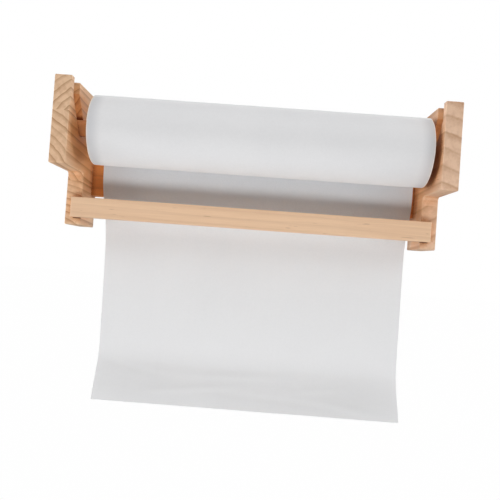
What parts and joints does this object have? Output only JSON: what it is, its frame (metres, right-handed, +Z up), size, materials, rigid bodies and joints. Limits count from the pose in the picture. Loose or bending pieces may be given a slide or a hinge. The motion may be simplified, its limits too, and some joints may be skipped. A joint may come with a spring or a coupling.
{
  "type": "wall-mounted roll dispenser",
  "caption": "Wall-mounted pine dispenser: a dowel rod in slotted side brackets carries a roll whose sheet hangs down behind a tear bar.",
  "frame": {"origin": "middle of the two wall screw holes, on the wall plane at the back of the rail", "axes": "+X to the viewer's right along the roll, +Y into the wall, +Z up"},
  "size_m": [0.523, 0.145, 0.44],
  "materials": {
    "pine_bracket": "sanded pine, clear matt finish",
    "pine_rail": "sanded pine, clear matt finish",
    "pine_bar": "sanded pine, clear matt finish",
    "pine_rod": "sanded dowel, clear matt finish",
    "pine_plug": "end-grain plug, sanded flush",
    "beech_pin": "fluted hardwood pin, unfinished",
    "screw_steel": "zinc plated",
    "card_core": "raw spiral-wound board",
    "paper_roll": "matt white wound sheet",
    "paper_sheet": "matt white sheet"
  },
  "bodies": {
    "frame": {"left_bracket": "pine_bracket", "right_bracket": "pine_bracket", "back_rail": "pine_rail", "tear_bar": "pine_bar", "rail_screw_left_lower": "screw_steel", "screw_plug_left_lower": "pine_plug", "bar_pin_left_lower": "beech_pin", "rail_screw_left_upper": "screw_steel", "screw_plug_left_upper": "pine_plug", "bar_pin_left_upper": "beech_pin", "rail_screw_right_lower": "screw_steel", "screw_plug_right_lower": "pine_plug", "bar_pin_right_lower": "beech_pin", "rail_screw_right_upper": "screw_steel", "screw_plug_right_upper": "pine_plug", "bar_pin_right_upper": "beech_pin"},
    "rod": {"roll_rod": "pine_rod", "web_upper": "paper_sheet"},
    "roll": {"core_tube": "card_core", "paper_roll": "paper_roll"},
    "web": {"web_lower": "paper_sheet"}
  },
  "joints": [
    {"name": "rod_lift", "type": "slide", "parent": "frame", "child": "rod", "axis": [0, -0.6157, 0.788], "range_m": [0, 0.047]},
    {"name": "roll_spin", "type": "hinge", "parent": "rod", "child": "roll", "pos_m": [0, -0.0925, 0.04235], "axis": [-1, 0, 0], "range_deg": [0, 305]},
    {"name": "web_pull", "type": "slide", "parent": "rod", "child": "web", "axis": [0, 0, -1], "range_m": [0, 0.252]}
  ],
  "couplings": [
    {"joint": "web_pull", "follows": "roll_spin", "m_per_rad": 0.047}
  ]
}
